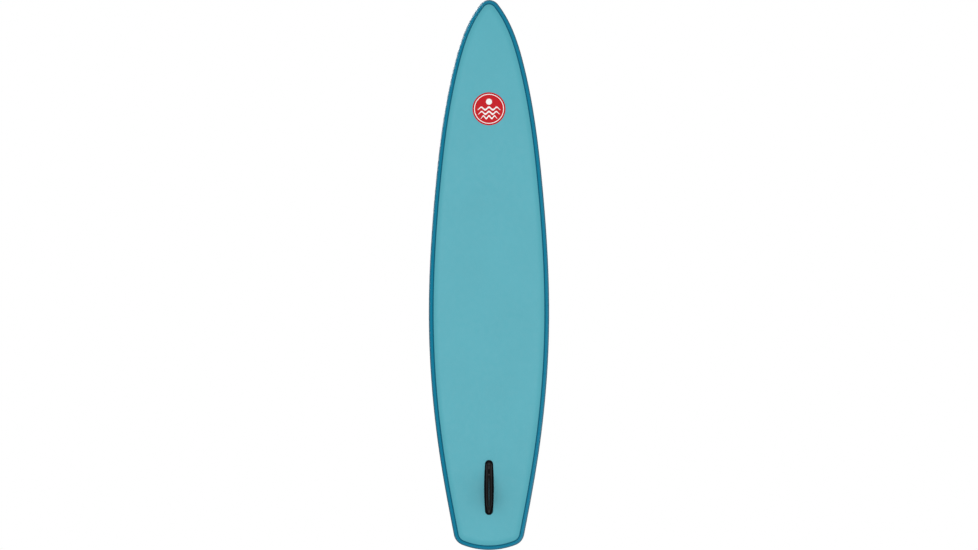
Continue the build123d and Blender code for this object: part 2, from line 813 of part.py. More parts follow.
def build_fin():
    """Foil blade on a slotted tab, with its cross pin."""
    under = surface_plane(FIN_X, 0, 0)
    tab_top = -BOX_DEPTH + SLOT_DEPTH - 1.0
    tab_front = FIN_TAB_X + FIN_TAB_LENGTH / 2
    tongue_reach = SCREW_X - tab_front + 10
    with BuildPart() as blade:
        for share in (0.0, 0.2, 0.4, 0.6, 0.78, 0.9, 0.97, 0.995):
            add(fin_section(share))
        loft()
        with BuildSketch(Plane.XY.offset(-BOX_DEPTH - CLEAR)):
            with Locations((FIN_TAB_X, 0)):
                Rectangle(FIN_TAB_LENGTH, FIN_TAB_WIDTH)
        extrude(amount=BOX_DEPTH + CLEAR + tab_top)
        with BuildSketch(Plane.XY.offset(TONGUE_TOP - TONGUE_THICK)):
            with Locations((tab_front - 5, 0)):
                Rectangle(2 * tongue_reach, FIN_TAB_WIDTH)
        extrude(amount=TONGUE_THICK)
        with BuildSketch(Plane.XY.offset(TONGUE_TOP)):
            with Locations((SCREW_X, 0)):
                Circle(SCREW_RADIUS + CLEAR)
        extrude(amount=-TONGUE_THICK, mode=Mode.SUBTRACT)
        with BuildSketch(Plane.XZ):
            with Locations((PIN_X, GROOVE_Z)):
                Circle(PIN_RADIUS)
        extrude(amount=FIN_TAB_WIDTH, both=True, mode=Mode.SUBTRACT)
    save_placed("fin_blade", blade.part, [under])

    with BuildPart() as pin:
        with BuildSketch(Plane.XZ):
            with Locations((PIN_X, GROOVE_Z)):
                Circle(PIN_RADIUS)
        extrude(amount=GROOVE_WIDTH / 2 - CLEAR, both=True)
    save_placed("fin_pin", pin.part, [under])


def build_clamp():
    """Nut plate in the groove and the screw that draws the fin's tongue up to it."""
    under = surface_plane(FIN_X, 0, 0)
    with BuildPart() as plate:
        with BuildSketch(Plane.XY.offset(GROOVE_Z - PLATE_THICK / 2)):
            with Locations((SCREW_X, 0)):
                Rectangle(PLATE_LENGTH, GROOVE_WIDTH - 2 * CLEAR)
                Circle(SCREW_RADIUS + 0.05, mode=Mode.SUBTRACT)
        extrude(amount=PLATE_THICK)
    save_placed("fin_nut_plate", plate.part, [under])

    drive_length = 5.4
    drive_width = 1.1
    drive_depth = 1.4
    head_top = TONGUE_TOP - TONGUE_THICK - 0.05
    with BuildPart() as screw:
        with BuildSketch(Plane.XY.offset(head_top)):
            with Locations((SCREW_X, 0)):
                Circle(SCREW_HEAD_RADIUS)
        extrude(amount=-SCREW_HEAD_THICK)
        fillet(screw.edges().group_by(Axis.Z)[0], 0.8)
        with BuildSketch(Plane.XY.offset(head_top - SCREW_HEAD_THICK)):
            with Locations((SCREW_X, 0)):
                Rectangle(drive_length, drive_width)
                Rectangle(drive_width, drive_length)
        extrude(amount=drive_depth, mode=Mode.SUBTRACT)
        with BuildSketch(Plane.XY.offset(head_top)):
            with Locations((SCREW_X, 0)):
                Circle(SCREW_RADIUS)
        extrude(amount=SCREW_LENGTH)
    save_placed("fin_screw", screw.part, [under])


# ---- hull badge --------------------------------------------------------------------------
def build_emblem():
    """Round badge bonded under the nose."""
    with BuildPart() as emblem:
        add(shell_between(CLEAR + EMBLEM_THICK, CLEAR))
        with BuildSketch(Plane.XY.offset(-THICKNESS)):
            with Locations((EMBLEM_X, 0)):
                Circle(EMBLEM_RADIUS)
        extrude(amount=THICKNESS + RAIL_RADIUS + lift(EMBLEM_X), mode=Mode.INTERSECT)
    save("hull_emblem", emblem.part)


build_board()
build_threads()
build_pads()
build_handle("carry_handle", deck_plane(CARRY_X, 0), 140.0, 51.0, 130.0)
build_handle("nose_handle", deck_plane(NOSE_HANDLE_X, 0), 85.0, 43.0, 0)
build_handle("tail_handle", deck_plane(TAIL_HANDLE_X, 0), 58.0, 39.0, 0)
build_rings()
build_valve()
build_fin_box()
build_fin()
build_clamp()
build_emblem()
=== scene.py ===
"""Blender scene of an inflatable touring stand up paddleboard, seen from straight below.

The shape functions work in millimetres in the board's own frame: +X to the nose, +Y to port,
+Z out of the deck. Meshes are written in metres.
"""

import math

import bmesh
import bpy
import numpy as np
from mathutils import Matrix, Vector


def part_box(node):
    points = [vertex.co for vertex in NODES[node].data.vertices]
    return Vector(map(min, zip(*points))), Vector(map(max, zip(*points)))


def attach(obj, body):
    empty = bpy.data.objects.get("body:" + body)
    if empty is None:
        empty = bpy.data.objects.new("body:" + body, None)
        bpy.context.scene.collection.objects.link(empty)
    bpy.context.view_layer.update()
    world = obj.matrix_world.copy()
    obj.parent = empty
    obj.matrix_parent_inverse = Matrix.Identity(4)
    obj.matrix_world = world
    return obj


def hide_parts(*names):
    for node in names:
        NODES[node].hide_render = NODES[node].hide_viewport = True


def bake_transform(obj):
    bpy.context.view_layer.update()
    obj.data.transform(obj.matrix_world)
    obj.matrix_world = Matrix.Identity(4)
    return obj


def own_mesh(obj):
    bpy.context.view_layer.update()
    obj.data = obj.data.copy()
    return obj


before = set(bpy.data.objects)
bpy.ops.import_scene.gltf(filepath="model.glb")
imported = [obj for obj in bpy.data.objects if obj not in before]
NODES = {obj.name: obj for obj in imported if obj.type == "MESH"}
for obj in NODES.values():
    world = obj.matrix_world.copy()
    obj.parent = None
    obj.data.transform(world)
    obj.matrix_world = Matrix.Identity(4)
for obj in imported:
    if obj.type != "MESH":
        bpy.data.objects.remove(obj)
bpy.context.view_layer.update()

MM = 0.001
DECK, HULL = 1, -1

# the board
LENGTH = 3810.0
THICKNESS = 150.0
RAIL = THICKNESS / 2
DECK_SEAT = THICKNESS + 0.3
FLAT_FROM, FLAT_TO, NOSE_RISE, TAIL_RISE = -600, 100, 190, 45
NOSE_RADIUS, NOSE_SWEEP = 78.0, 52.0
TAIL_RADIUS, TAIL_SWEEP = 500.0, 21.7
CORNER_RADIUS, CORNER_SWEEP = 95.0, 57.3
SIDE_POINTS = [(-1249, 341), (-365, 415), (619, 369), (1450, 241.5)]
RAIL_INSET = 30.0
SKIN = 1.6

# deck pad, its grooves and well, and the kick pad
PAD_INSET, PAD_CORNER, PAD_THICK, PAD_BORDER = 92.0, 60.0, 5.0, 16.0
GROOVE_ANGLE, GROOVE_PITCH, GROOVE_HALF = 32.0, 42.0, 1.9
WELL_LENGTH, WELL_WIDTH, WELL_CORNER = 470.0, 124.0, 41.0
KICK_X, KICK_LENGTH, KICK_WIDTH = -1228.0, 96.0, 380.0
KICK_CREST, KICK_HEIGHT, KICK_FALL = -28.8, 26.0, 22.0

# handles: name, place, half span between the patches, rise, length of the padded grip
HANDLES = [
    ("carry_handle", 0.0, 140.0, 51.0, 130.0),
    ("nose_handle", 1590.0, 85.0, 43.0, 0.0),
    ("tail_handle", -1718.0, 58.0, 39.0, 0.0),
]
CARRY_X = HANDLES[0][1]
PIVOT_HEIGHT = 15.0
STRAP_THICK, STRAP_FLAT = 2.4, 4.6

# D rings, valve, badge, fin box and world
RING_PLACES = [(1330.0, 118.0), (900.0, 205.0), (-1385.0, 198.0), (-1640.0, 150.0)]
LEASH_X = -1546.0
RING_PATCH_RADIUS, LOOP_WIDTH = 40.0, 20.0
VALVE_X, VALVE_HOLE, VALVE_PATCH_RADIUS, VALVE_PATCH_HOLE = -1440.0, 22.0, 62.0, 32.0
EMBLEM_X, EMBLEM_RADIUS, EMBLEM_THICK, PRINT_THICK = 1143.0, 114.0, 1.5, 0.25
BOX_TILT, BOX_SETBACK = 0.0468, 0.0520
HORIZON, WORLD_LIGHT = 0.815, 0.42


# ---- the board's shape ----
def arc(centre, radius, start, sweep, count):
    """Points of an arc and their outward normals."""
    angles = np.radians(np.linspace(start, start + sweep, count))
    normals = np.column_stack([np.cos(angles), np.sin(angles)])
    return centre + radius * normals, normals


def run_along(points):
    """Distance along a path to each of its points."""
    return np.concatenate([[0], np.cumsum(np.linalg.norm(np.diff(points, axis=0), axis=1))])


def headings(points):
    """Unit directions along a path at its points."""
    ahead = np.gradient(points, axis=0)
    return ahead / np.linalg.norm(ahead, axis=1)[:, None]


def fair_curve(points, start, end, count):
    """Smooth curve through points that leaves and arrives in the given directions."""
    points = np.array(points, float)
    knots = run_along(points)
    step = np.diff(knots)
    matrix = np.eye(len(points))
    target = np.zeros_like(points)
    target[0], target[-1] = start, end
    for i in range(1, len(points) - 1):
        before, after = step[i - 1], step[i]
        matrix[i, i - 1 : i + 2] = 1 / before, 2 / before + 2 / after, 1 / after
        target[i] = 3 * (points[i] - points[i - 1]) / before**2
        target[i] += 3 * (points[i + 1] - points[i]) / after**2
    speed = np.linalg.solve(matrix, target)
    at = np.linspace(0, knots[-1], count)
    span = np.clip(np.searchsorted(knots, at) - 1, 0, len(step) - 1)
    width = step[span][:, None]
    t = (at - knots[span])[:, None] / width
    return (
        points[span] * (1 + 2 * t) * (1 - t) ** 2
        + points[span + 1] * t**2 * (3 - 2 * t)
        + speed[span] * width * t * (1 - t) ** 2
        - speed[span + 1] * width * t**2 * (1 - t)
    )


def board_outline():
    """Port half of the plan outline from tail to nose, with outward normals."""
    tail_centre = np.array([TAIL_RADIUS - LENGTH / 2, 0])
    tail, tail_out = arc(tail_centre, TAIL_RADIUS, 180, -TAIL_SWEEP, 20)
    corner_centre = tail[-1] - CORNER_RADIUS * tail_out[-1]
    corner, corner_out = arc(corner_centre, CORNER_RADIUS, 180 - TAIL_SWEEP, -CORNER_SWEEP, 22)
    nose_centre = np.array([LENGTH / 2 - NOSE_RADIUS, 0])
    nose, nose_out = arc(nose_centre, NOSE_RADIUS, NOSE_SWEEP, -NOSE_SWEEP, 22)
    start = corner_out[-1] @ [[0, -1], [1, 0]]
    end = nose_out[0] @ [[0, -1], [1, 0]]
    side = fair_curve([corner[-1], *SIDE_POINTS, nose[0]], start, end, 320)
    side_out = headings(side) @ [[0, 1], [-1, 0]]
    points = np.concatenate([tail[:-1], corner, side[1:-1], nose])
    outward = np.concatenate([tail_out[:-1], corner_out, side_out[1:-1], nose_out])
    return points, outward


OUTLINE, OUTWARD = board_outline()
ALONG = run_along(OUTLINE)


def lift(x):
    """Height of the hull's underside above its flat stretch."""
    ahead = np.clip((x - FLAT_TO) / (LENGTH / 2 - FLAT_TO), 0, None)
    astern = np.clip((FLAT_FROM - x) / (LENGTH / 2 + FLAT_FROM), 0, None)
    return NOSE_RISE * ahead**2.4 + TAIL_RISE * astern**2.4


def skin_points(plan, outward, inset, proud, side):
    """Points on the skin at an inset from the outline, raised off it by proud."""
    lean = 1 - np.minimum(inset / RAIL, 1)
    rise = np.sqrt(1 - lean**2)
    flat = plan - outward * (inset - proud * lean)
    height = lift(flat[:, 0]) + RAIL + side * (RAIL + proud) * rise
    return np.column_stack([flat, height])


def skin_height(x, y, side):
    """Height of the deck or hull skin over plan points."""
    spots = np.column_stack([x, np.abs(y)])
    inset = np.empty(len(spots))
    for i, spot in enumerate(spots):
        near = np.argmin(((OUTLINE - spot) ** 2).sum(axis=1))
        inset[i] = (OUTLINE[near] - spot) @ OUTWARD[near]
    lean = 1 - np.clip(inset / RAIL, 0, 1)
    return lift(spots[:, 0]) + RAIL + side * RAIL * np.sqrt(1 - lean**2)


# ---- meshes ----
def grid_faces(rows, columns, around=False, closed=False):
    """Quads of a grid; around joins its last column to its first, closed its last row."""
    faces = []
    for r in range(rows if closed else rows - 1):
        for c in range(columns if around else columns - 1):
            c2 = (c + 1) % columns
            near, far = r * columns, (r + 1) % rows * columns
            faces.append((near + c, near + c2, far + c2, far + c))
    return faces


def tube_faces(rows, columns):
    """Faces of a closed tube: the grid round it and a cap on each end."""
    last = (rows - 1) * columns
    caps = [tuple(range(columns)), tuple(range(last, last + columns))[::-1]]
    return grid_faces(rows, columns, around=True) + caps


def add_object(name, data):
    """A new object in the scene."""
    thing = bpy.data.objects.new(name, data)
    bpy.context.scene.collection.objects.link(thing)
    return thing


def smooth_shaded(mesh, degrees):
    """Smooth shading, with edges sharper than an angle left sharp."""
    mesh.polygons.foreach_set("use_smooth", [True] * len(mesh.polygons))
    mesh.set_sharp_from_angle(angle=math.radians(degrees))


def make_piece(name, points, faces, finish, weave=None, away_from=None, smooth=50):
    """A mesh piece in the board's frame. weave is its cloth coordinates, in millimetres."""
    mesh = bpy.data.meshes.new(name)
    mesh.from_pydata((np.reshape(points, (-1, 3)) * MM).tolist(), [], faces)
    if weave is not None:
        layer = mesh.attributes.new("weave", "FLOAT_VECTOR", "POINT")
        layer.data.foreach_set("vector", (np.asarray(weave, float) * MM).astype("f").ravel())
    piece = add_object(name, mesh)
    shape = bmesh.new()
    shape.from_mesh(mesh)
    bmesh.ops.remove_doubles(shape, verts=shape.verts, dist=2e-6)
    bmesh.ops.dissolve_degenerate(shape, edges=shape.edges, dist=1e-6)
    bmesh.ops.recalc_face_normals(shape, faces=shape.faces)
    if away_from is not None:
        middle = Vector(away_from) * MM
        facing = sum(
            face.normal.dot(face.calc_center_median() - middle) * face.calc_area()
            for face in shape.faces
        )
        if facing < 0:
            bmesh.ops.reverse_faces(shape, faces=shape.faces)
    shape.to_mesh(mesh)
    shape.free()
    mesh.materials.append(finish)
    smooth_shaded(mesh, smooth)
    return piece


def settle(piece):
    """Apply a piece's modifiers, keeping its one finish."""
    finish = piece.data.materials[0]
    graph = bpy.context.evaluated_depsgraph_get()
    solid = bpy.data.meshes.new_from_object(piece.evaluated_get(graph))
    piece.modifiers.clear()
    piece.data = solid
    solid.materials.clear()
    solid.materials.append(finish)
    smooth_shaded(solid, 40)


def thicken(piece, thickness, offset):
    """Turn a sheet into a solid of a thickness, inward for -1 and outward for 1."""
    skin = piece.modifiers.new("skin", "SOLIDIFY")
    skin.thickness = thickness * MM
    skin.offset = offset
    settle(piece)


def cut(piece, cutter, operation="DIFFERENCE"):
    """Cut a piece with another, which is used up."""
    trim = piece.modifiers.new("trim", "BOOLEAN")
    trim.operation = operation
    trim.solver = "EXACT"
    trim.object = cutter
    settle(piece)
    bpy.data.objects.remove(cutter)


def prism(name, outline, low, high):
    """A straight prism of deck foam on a plan outline, to keep or to cut with."""
    count = len(outline)
    points = [(x, y, low) for x, y in outline] + [(x, y, high) for x, y in outline]
    faces = grid_faces(2, count, around=True)
    faces += [tuple(range(count))[::-1], tuple(range(count, 2 * count))]
    return make_piece(name, points, faces, deck_foam)


def circle(radius, count=72):
    """Plan points of a circle about the origin."""
    return arc(np.zeros(2), radius, 0, 360 * (1 - 1 / count), count)[0]


def rounded_rectangle(length, width, radius):
    """Plan points of a rectangle with round corners about the origin."""
    x, y = length / 2 - radius, width / 2 - radius
    corners = [((x, y), 0), ((-x, y), 90), ((-x, -y), 180), ((x, -y), 270)]
    return np.concatenate([arc(np.array(c), radius, a, 90, 10)[0] for c, a in corners])


def placed(local, x, y=0.0, heading=0.0):
    """Points of a deck fitting, moved from its own frame to the deck's at (x, y)."""
    slope = float(lift(np.array(x + 0.5)) - lift(np.array(x - 0.5)))
    run = math.hypot(1, slope)
    ahead = np.array([1, 0, slope]) / run
    turn = math.radians(heading)
    across = ahead * math.cos(turn) + np.array([0, math.sin(turn), 0])
    normal = np.array([-slope, 0, 1]) / run
    local = np.asarray(local, float)
    origin = np.array([x, y, float(lift(np.array(x))) + DECK_SEAT])
    beside = np.cross(normal, across)
    return origin + local[:, :1] * across + local[:, 1:2] * beside + local[:, 2:] * normal


def bonded_patch(name, plan, centre, thick, finish, side=DECK, hole=0.0, line=5.0):
    """A patch bonded to the skin: soft edge, a pressed line inside it, an optional hole."""
    middle = np.array(centre)
    size = np.linalg.norm(plan - middle, axis=1).mean()
    profile = [(0, 0.05), (0.15, thick * 0.6), (0.9, thick)]
    profile += [(line, thick), (line + 0.7, thick - 0.45), (line + 1.4, thick)]
    inner = [(size - hole) * share for share in (0.3, 0.5, 0.75, 1.0)]
    profile += [(depth, thick) for depth in inner if depth > line + 2]
    if hole:
        profile.append((size - hole, 0.05))
    rows, heights = [], []
    for depth, height in profile:
        rows.append(middle + (plan - middle) * max(0.0, 1 - depth / size))
        heights += [height] * len(plan)
    spots = np.concatenate(rows)
    level = skin_height(spots[:, 0], spots[:, 1], side) + side * np.array(heights)
    points = np.column_stack([spots, level])
    faces = grid_faces(len(rows), len(plan), around=True)
    away = (middle[0], middle[1], points[:, 2].mean() - side * 400)
    return make_piece(name, points, faces, finish, away_from=away)


def ribbon(path, width, thick, wave=0.0):
    """A flat strap in its own XZ plane: points, faces and weave of a soft-edged section."""
    thick = np.broadcast_to(thick, len(path))
    ahead = headings(path)
    up = np.column_stack([-ahead[:, 2], np.zeros(len(path)), ahead[:, 0]])
    run = run_along(path)
    half = width / 2
    across = [-half, -half + 0.5, -half + 2.2, -half / 3, half / 3, half - 2.2, half - 0.5, half]
    swell = [0.25, 0.85, 1.0, 0.92, 0.92, 1.0, 0.85, 0.25]
    section = list(zip(across, swell)) + [(a, -s) for a, s in zip(across[::-1], swell[::-1])]
    points, weave = [], []
    for i, spot in enumerate(path):
        ripple = wave * math.sin(run[i] / 9.0)
        for offset, share in section:
            lateral = np.array([0, offset + ripple * offset / half, 0])
            points.append(spot + lateral + up[i] * share * thick[i] / 2)
            weave.append((run[i], offset, share))
    return np.array(points), tube_faces(len(path), len(section)), weave


def stitches(lines):
    """Small raised threads along lines, as points and faces in their own frame."""
    pitch, length, radius, sides = 3.4, 2.5, 0.42, 6
    taper = ((-0.5, 0.35), (-0.3, 0.9), (0, 1.0), (0.3, 0.9), (0.5, 0.35))
    points, faces = [], []
    for start, end in np.array(lines, float):
        full = np.linalg.norm(end - start)
        count = max(1, int(full / pitch))
        ahead = (end - start) / full
        beside = np.cross([0, 0, 1], ahead)
        beside /= np.linalg.norm(beside)
        for stitch in range(count):
            centre = start + ahead * (stitch + 0.5) * full / count
            first = len(points)
            for along, size in taper:
                for turn in np.arange(sides) * math.pi / 3:
                    spread = beside * math.cos(turn) + np.array([0, 0, math.sin(turn)])
                    points.append(centre + ahead * along * length + spread * size * radius)
            shape = tube_faces(len(taper), sides)
            faces += [tuple(first + corner for corner in face) for face in shape]
    return np.array(points), faces


def sewn(name, lines, x, y=0.0, heading=0.0, end=1):
    """A piece of stitches along lines, moved from a fitting's own frame to its place."""
    local, faces = stitches(lines)
    return make_piece(name, placed(local * [end, 1, 1], x, y, heading), faces, thread)


def box_stitch(x0, x1, half, z):
    """The lines of a box stitch with a cross, on a strap's flat end."""
    a, b, c, d = (x0, -half, z), (x1, -half, z), (x1, half, z), (x0, half, z)
    return [(a, b), (b, c), (c, d), (d, a), (a, c), (b, d)]


# ---- finishes ----
def tone(red, green, blue):
    """Linear colour from display values of 0 to 255."""
    shares = [c / 255 for c in (red, green, blue)]
    linear = [c / 12.92 if c < 0.04 else ((c + 0.055) / 1.055) ** 2.4 for c in shares]
    return (*linear, 1.0)


def shade(colour, factor):
    """A linear colour made darker or lighter."""
    return (*[min(1.0, c * factor) for c in colour[:3]], 1.0)


def connect(tree, socket, value):
    """Link a node's input to an output, or set its value."""
    if isinstance(value, bpy.types.NodeSocket):
        tree.links.new(value, socket)
    else:
        socket.default_value = value


def add_node(tree, kind, **inputs):
    """A new shader node with its inputs set; an underscore stands for a space in a name."""
    node = tree.nodes.new("ShaderNode" + kind)
    for name, value in inputs.items():
        connect(tree, node.inputs[name.replace("_", " ")], value)
    return node


class Finish:
    """A Principled material whose colour, roughness and relief are built up in layers."""

    def __init__(self, name, colour, metallic=0.0, specular=0.5):
        self.material = bpy.data.materials.new(name)
        self.material.use_nodes = True
        self.tree = self.material.node_tree
        self.shader = self.tree.nodes["Principled BSDF"]
        self.shader.inputs["Metallic"].default_value = metallic
        self.shader.inputs["Specular IOR Level"].default_value = specular
        self.where = add_node(self.tree, "TexCoord").outputs["Object"]
        self.colour = colour
        self.normal = None

    def cloth(self):
        """Use the piece's own cloth coordinates from here on."""
        source = add_node(self.tree, "Attribute")
        source.attribute_name = "weave"
        self.where = source.outputs["Vector"]
        return self

    def cloth_part(self, axis):
        """One cloth coordinate, with the others left as they were."""
        kept = self.where
        found = self.cloth().part(axis)
        self.where = kept
        return found

    def math(self, operation, first, second=0.0):
        """One math node."""
        node = add_node(self.tree, "Math")
        node.operation = operation
        for socket, value in zip(node.inputs, (first, second)):
            connect(self.tree, socket, value)
        return node.outputs[0]

    def part(self, axis):
        """One coordinate, 0 for X, 1 for Y, 2 for Z."""
        return add_node(self.tree, "SeparateXYZ", Vector=self.where).outputs[axis]

    def spread(self, value, low, high, first=0.0, last=1.0):
        """Map a range of a value onto another, without going past its ends."""
        ends = {"From_Min": low, "From_Max": high, "To_Min": first, "To_Max": last}
        return add_node(self.tree, "MapRange", Value=value, **ends).outputs[0]

    def noise(self, scale, detail=3.0, stretch=(1, 1, 1)):
        """Soft random pattern, its scale in cells per metre."""
        where = add_node(self.tree, "Mapping", Vector=self.where, Scale=stretch).outputs[0]
        node = add_node(self.tree, "TexNoise", Vector=where, Scale=scale, Detail=detail)
        return node.outputs[0]

    def cells(self, scale):
        """Random cells, by the distance from each one's middle."""
        node = add_node(self.tree, "TexVoronoi", Vector=self.where, Scale=scale)
        return node.outputs["Distance"]

    def ribs(self, axis, pitch):
        """Even ribs across an axis, from 0 to 1."""
        turned = self.math("MULTIPLY", self.part(axis), 2 * math.pi / pitch)
        return self.math("MULTIPLY_ADD", self.math("SINE", turned), 0.5)

    def scrim(self, pitch):
        """Ribs both ways, as a weave shows through its coating."""
        return self.math("MULTIPLY", self.ribs(0, pitch), self.ribs(1, pitch))

    def relief(self, height, depth, strength=1.0):
        """Add a layer of relief of the given depth in metres."""
        bump = add_node(self.tree, "Bump", Distance=depth, Strength=strength, Height=height)
        if self.normal is not None:
            self.tree.links.new(self.normal, bump.inputs["Normal"])
        self.normal = bump.outputs[0]
        return self

    def stain(self, amount, colour):
        """Lay another colour over the finish by an amount."""
        node = add_node(self.tree, "Mix")
        node.data_type = "RGBA"
        for index, value in ((0, amount), (6, self.colour), (7, colour)):
            connect(self.tree, node.inputs[index], value)
        self.colour = node.outputs[2]
        return self

    def tint(self, pattern, low, high, share, colour):
        """Lay another colour over the finish where a pattern is high."""
        return self.stain(self.spread(pattern, low, high, 0.0, share), colour)

    def gloss(self, low, high, scale=30.0):
        """Roughness that wanders between two values."""
        wander = self.spread(self.noise(scale), 0.3, 0.7, low, high)
        self.tree.links.new(wander, self.shader.inputs["Roughness"])
        return self

    def done(self):
        """The finished material."""
        connect(self.tree, self.shader.inputs["Base Color"], self.colour)
        if self.normal is not None:
            self.tree.links.new(self.normal, self.shader.inputs["Normal"])
        return self.material


def coated_fabric(name, colour, specular=0.38):
    """Coated drop stitch fabric: a fine scrim print, stitch dimples and light handling wear."""
    finish = Finish(name, colour, specular=specular)
    clouds, print_grain = finish.noise(3.0, 5.0), finish.noise(90.0, 6.0)
    finish.tint(clouds, 0.35, 0.75, 0.5, shade(colour, 0.93))
    finish.tint(print_grain, 0.55, 0.8, 0.35, shade(colour, 1.12))
    scuffs = finish.noise(26.0, 8.0, (0.25, 3.0, 3.0))
    finish.tint(scuffs, 0.68, 0.8, 0.3, shade(colour, 0.82))
    finish.relief(finish.scrim(0.0016), 0.00006, 0.6)
    finish.relief(finish.scrim(0.009), 0.00016, 0.5)
    finish.relief(finish.noise(7.0, 3.0), 0.0012, 0.35)
    return finish.gloss(0.36, 0.5)


def plain_coated(name, colour, low=0.34, high=0.46, specular=0.38):
    """Coated fabric patch or tape: the scrim only, a little glossier."""
    finish = Finish(name, colour, specular=specular)
    clouds, specks = finish.noise(14.0, 5.0), finish.noise(160.0, 4.0)
    finish.tint(clouds, 0.35, 0.75, 0.5, shade(colour, 0.9))
    finish.tint(specks, 0.6, 0.85, 0.3, shade(colour, 1.2))
    finish.relief(finish.scrim(0.0014), 0.00005, 0.5)
    finish.relief(finish.noise(60.0, 4.0), 0.0002, 0.4)
    return finish.gloss(low, high, 60.0)


TEAL = tone(87, 172, 186)
RAIL_TEAL = tone(0, 134, 168)
LINE_TEAL = tone(0, 97, 122)
RED = tone(196, 12, 26)
SLATE = tone(74, 84, 92)

hull_skin = coated_fabric("hull_coated_fabric", TEAL, specular=0.2).done()
deck_skin = coated_fabric("deck_coated_fabric", tone(232, 238, 238)).done()


def rail_finish():
    """Rail band: coated fabric with a darker rubbing stripe round its middle."""
    finish = coated_fabric("rail_coated_fabric", RAIL_TEAL, specular=0.14)
    from_middle = finish.math("ABSOLUTE", finish.cloth_part(1))
    finish.stain(finish.spread(from_middle, 0.0318, 0.0326, 1.0, 0.0), LINE_TEAL)
    return finish.done()


rail_skin = rail_finish()
tape_skin = plain_coated("seam_tape", LINE_TEAL, specular=0.14).done()
patch_skin = plain_coated("patch_coated_fabric", tone(40, 60, 72)).done()
emblem_red = plain_coated("emblem_print_red", RED, 0.4, 0.5, 0.12).done()
emblem_white = plain_coated("emblem_print_white", tone(244, 244, 242), 0.3, 0.42).done()


def foam_finish(name, top, under=None, depth=0.0):
    """Closed cell foam with a brushed face; under is the colour of the layer below depth."""
    finish = Finish(name, top, specular=0.3)
    finish.tint(finish.noise(9.0, 5.0), 0.35, 0.7, 0.5, shade(top, 0.86))
    finish.tint(finish.noise(700.0, 2.0), 0.5, 0.75, 0.5, shade(top, 1.25))
    if under is not None:
        level = finish.cloth_part(2)
        finish.stain(finish.spread(level, depth - 0.0002, depth, 1.0, 0.0), under)
    finish.relief(finish.cells(900.0), 0.0002, 0.7)
    finish.relief(finish.noise(260.0, 5.0, (0.4, 1, 1)), 0.0003, 0.5)
    return finish.gloss(0.82, 0.95, 80.0).done()


deck_foam = foam_finish("deck_foam", SLATE, tone(36, 134, 158), 0.0036)
kick_foam = foam_finish("kick_foam", tone(58, 67, 74))
grip_foam = foam_finish("grip_neoprene", tone(38, 98, 112))


def webbing_finish():
    """Woven polyester webbing: ribs across, fine yarns along, fuzzy tone."""
    base = tone(30, 34, 38)
    finish = Finish("woven_webbing", base, specular=0.3).cloth()
    ribs = finish.ribs(0, 0.0018)
    yarns = finish.ribs(1, 0.0009)
    finish.tint(ribs, 0.2, 0.9, 0.6, shade(base, 1.7))
    finish.tint(finish.noise(300.0, 4.0), 0.5, 0.8, 0.6, shade(base, 0.6))
    finish.relief(finish.math("MULTIPLY", ribs, yarns), 0.0003, 0.8)
    finish.relief(finish.noise(900.0, 3.0), 0.00015, 0.6)
    finish.shader.inputs["Sheen Weight"].default_value = 0.25
    return finish.gloss(0.7, 0.88, 200.0).done()


webbing = webbing_finish()


def thread_finish():
    """Twisted sewing thread."""
    base = tone(150, 190, 198)
    finish = Finish("sewing_thread", base)
    finish.tint(finish.noise(1500.0), 0.4, 0.7, 0.6, shade(base, 0.7))
    finish.relief(finish.ribs(0, 0.0006), 0.0001, 0.6)
    return finish.gloss(0.5, 0.7, 400.0).done()


thread = thread_finish()


def moulded(name, colour, low=0.4, high=0.55, grain=900.0, streak=0.0, specular=0.5):
    """Moulded plastic or rubber with a fine spark grain, faint flow streaks and wear."""
    finish = Finish(name, colour, specular=specular)
    flow = finish.noise(18.0, 6.0, (0.35, 2.0, 1.0))
    finish.tint(flow, 0.45, 0.7, 0.35 + streak, shade(colour, 1.6))
    finish.tint(finish.noise(220.0, 5.0), 0.6, 0.8, 0.35, shade(colour, 0.7))
    finish.relief(finish.cells(grain), 0.00008, 0.6)
    finish.relief(finish.noise(40.0, 3.0), 0.0003, 0.25)
    return finish.gloss(low, high, 90.0).done()


def metal(name, colour, low, high):
    """Polished or turned metal with fine scratches."""
    finish = Finish(name, colour, metallic=1.0)
    finish.tint(finish.noise(70.0, 5.0), 0.5, 0.8, 0.4, shade(colour, 0.8))
    finish.relief(finish.noise(600.0, 6.0, (1.0, 0.08, 1.0)), 0.00003, 0.6)
    finish.relief(finish.noise(120.0, 4.0), 0.00008, 0.4)
    return finish.gloss(low, high, 150.0).done()


def box_finish():
    """Graphite fin box: a paler middle on its face, a painted highlight round its rim, and black
    painted shade in every recess.
    """
    # rim is the colour of a painted highlight round the edge of the face
    face, line, middle, rim = (tone(*[v] * 3) for v in (31, 12, 40, 56))
    finish = Finish("fin_box_graphite", face, specular=0.06)
    flow = finish.noise(18.0, 6.0, (0.35, 2.0, 1.0))
    finish.tint(flow, 0.45, 0.7, 0.35, shade(face, 1.25))
    beside = finish.math("ABSOLUTE", finish.part(1))
    for reach, colour in ((0.0112, line), (0.0088, face), (0.0058, middle)):
        finish.stain(finish.spread(beside, reach, reach + 0.0006, 1.0, 0.0), colour)
    # painted highlight: a paler band round the rim of the face
    finish.tint(beside, 0.0155, 0.0163, 1.0, rim)
    # painted shade: every recess deeper than the face is stained near black
    slope = finish.math("MULTIPLY", finish.part(0), BOX_TILT)
    depth = finish.math("ADD", finish.math("ADD", slope, finish.part(2)), BOX_SETBACK)
    finish.stain(finish.spread(depth, -0.0272, -0.0262), tone(2, 2, 3))
    finish.relief(finish.cells(900.0), 0.00008, 0.6)
    return finish.gloss(0.5, 0.62, 90.0).done()


